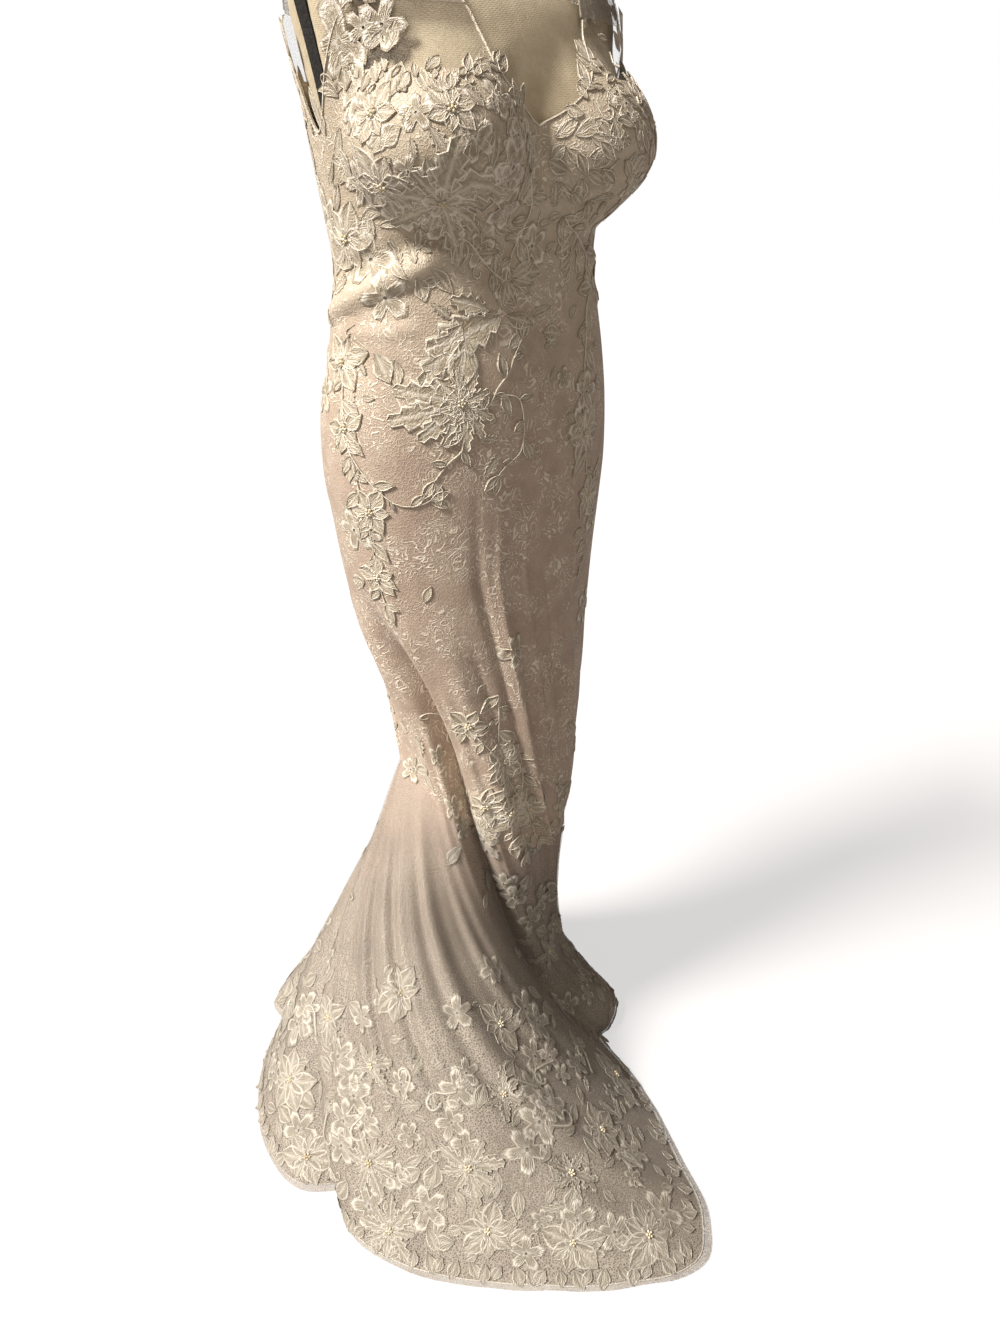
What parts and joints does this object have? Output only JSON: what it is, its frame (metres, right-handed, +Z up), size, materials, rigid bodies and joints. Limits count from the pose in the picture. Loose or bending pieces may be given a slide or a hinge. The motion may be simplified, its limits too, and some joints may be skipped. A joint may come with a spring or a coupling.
{
  "type": "mermaid gown on a dress form",
  "caption": "Fitted lace mermaid wedding gown, V neck, sheer shoulder straps and a train swept round to the front, standing on a limbless dress form.",
  "frame": {"origin": "centre of the stand's base, on the floor", "axes": "+Z up along the dress form's pole, gown's front towards -Y, wearer's left towards +X"},
  "size_m": [0.6, 0.8039, 1.5613],
  "materials": {
    "blush_lace": "ivory corded lace over a blush satin lining",
    "sheer_tulle": "sheer ivory tulle with lace flowers",
    "cream_linen": "cream linen cover, matt",
    "black_knit": "black knit, matt",
    "dark_wood": "dark stained, satin lacquer",
    "satin_metal": "satin"
  },
  "bodies": {
    "root": {"cup_right": "blush_lace", "cup_left": "blush_lace", "midriff": "blush_lace", "bodice_side_right": "blush_lace", "bodice_side_left": "blush_lace", "bodice_back_right": "blush_lace", "bodice_back_left": "blush_lace", "strap_left": "sheer_tulle", "strap_right": "sheer_tulle", "skirt_front": "blush_lace", "skirt_side_right": "blush_lace", "skirt_side_left": "blush_lace", "skirt_back_right": "blush_lace", "skirt_back_left": "blush_lace", "flounce_front": "sheer_tulle", "flounce_side_right": "sheer_tulle", "flounce_side_left": "sheer_tulle", "flounce_back_right": "sheer_tulle", "flounce_back_left": "sheer_tulle", "form_torso": "cream_linen", "inner_sleeve_left": "black_knit", "inner_sleeve_right": "black_knit", "neck_cap": "dark_wood", "stand_base": "dark_wood", "stand_pole": "satin_metal"}
  },
  "joints": []
}
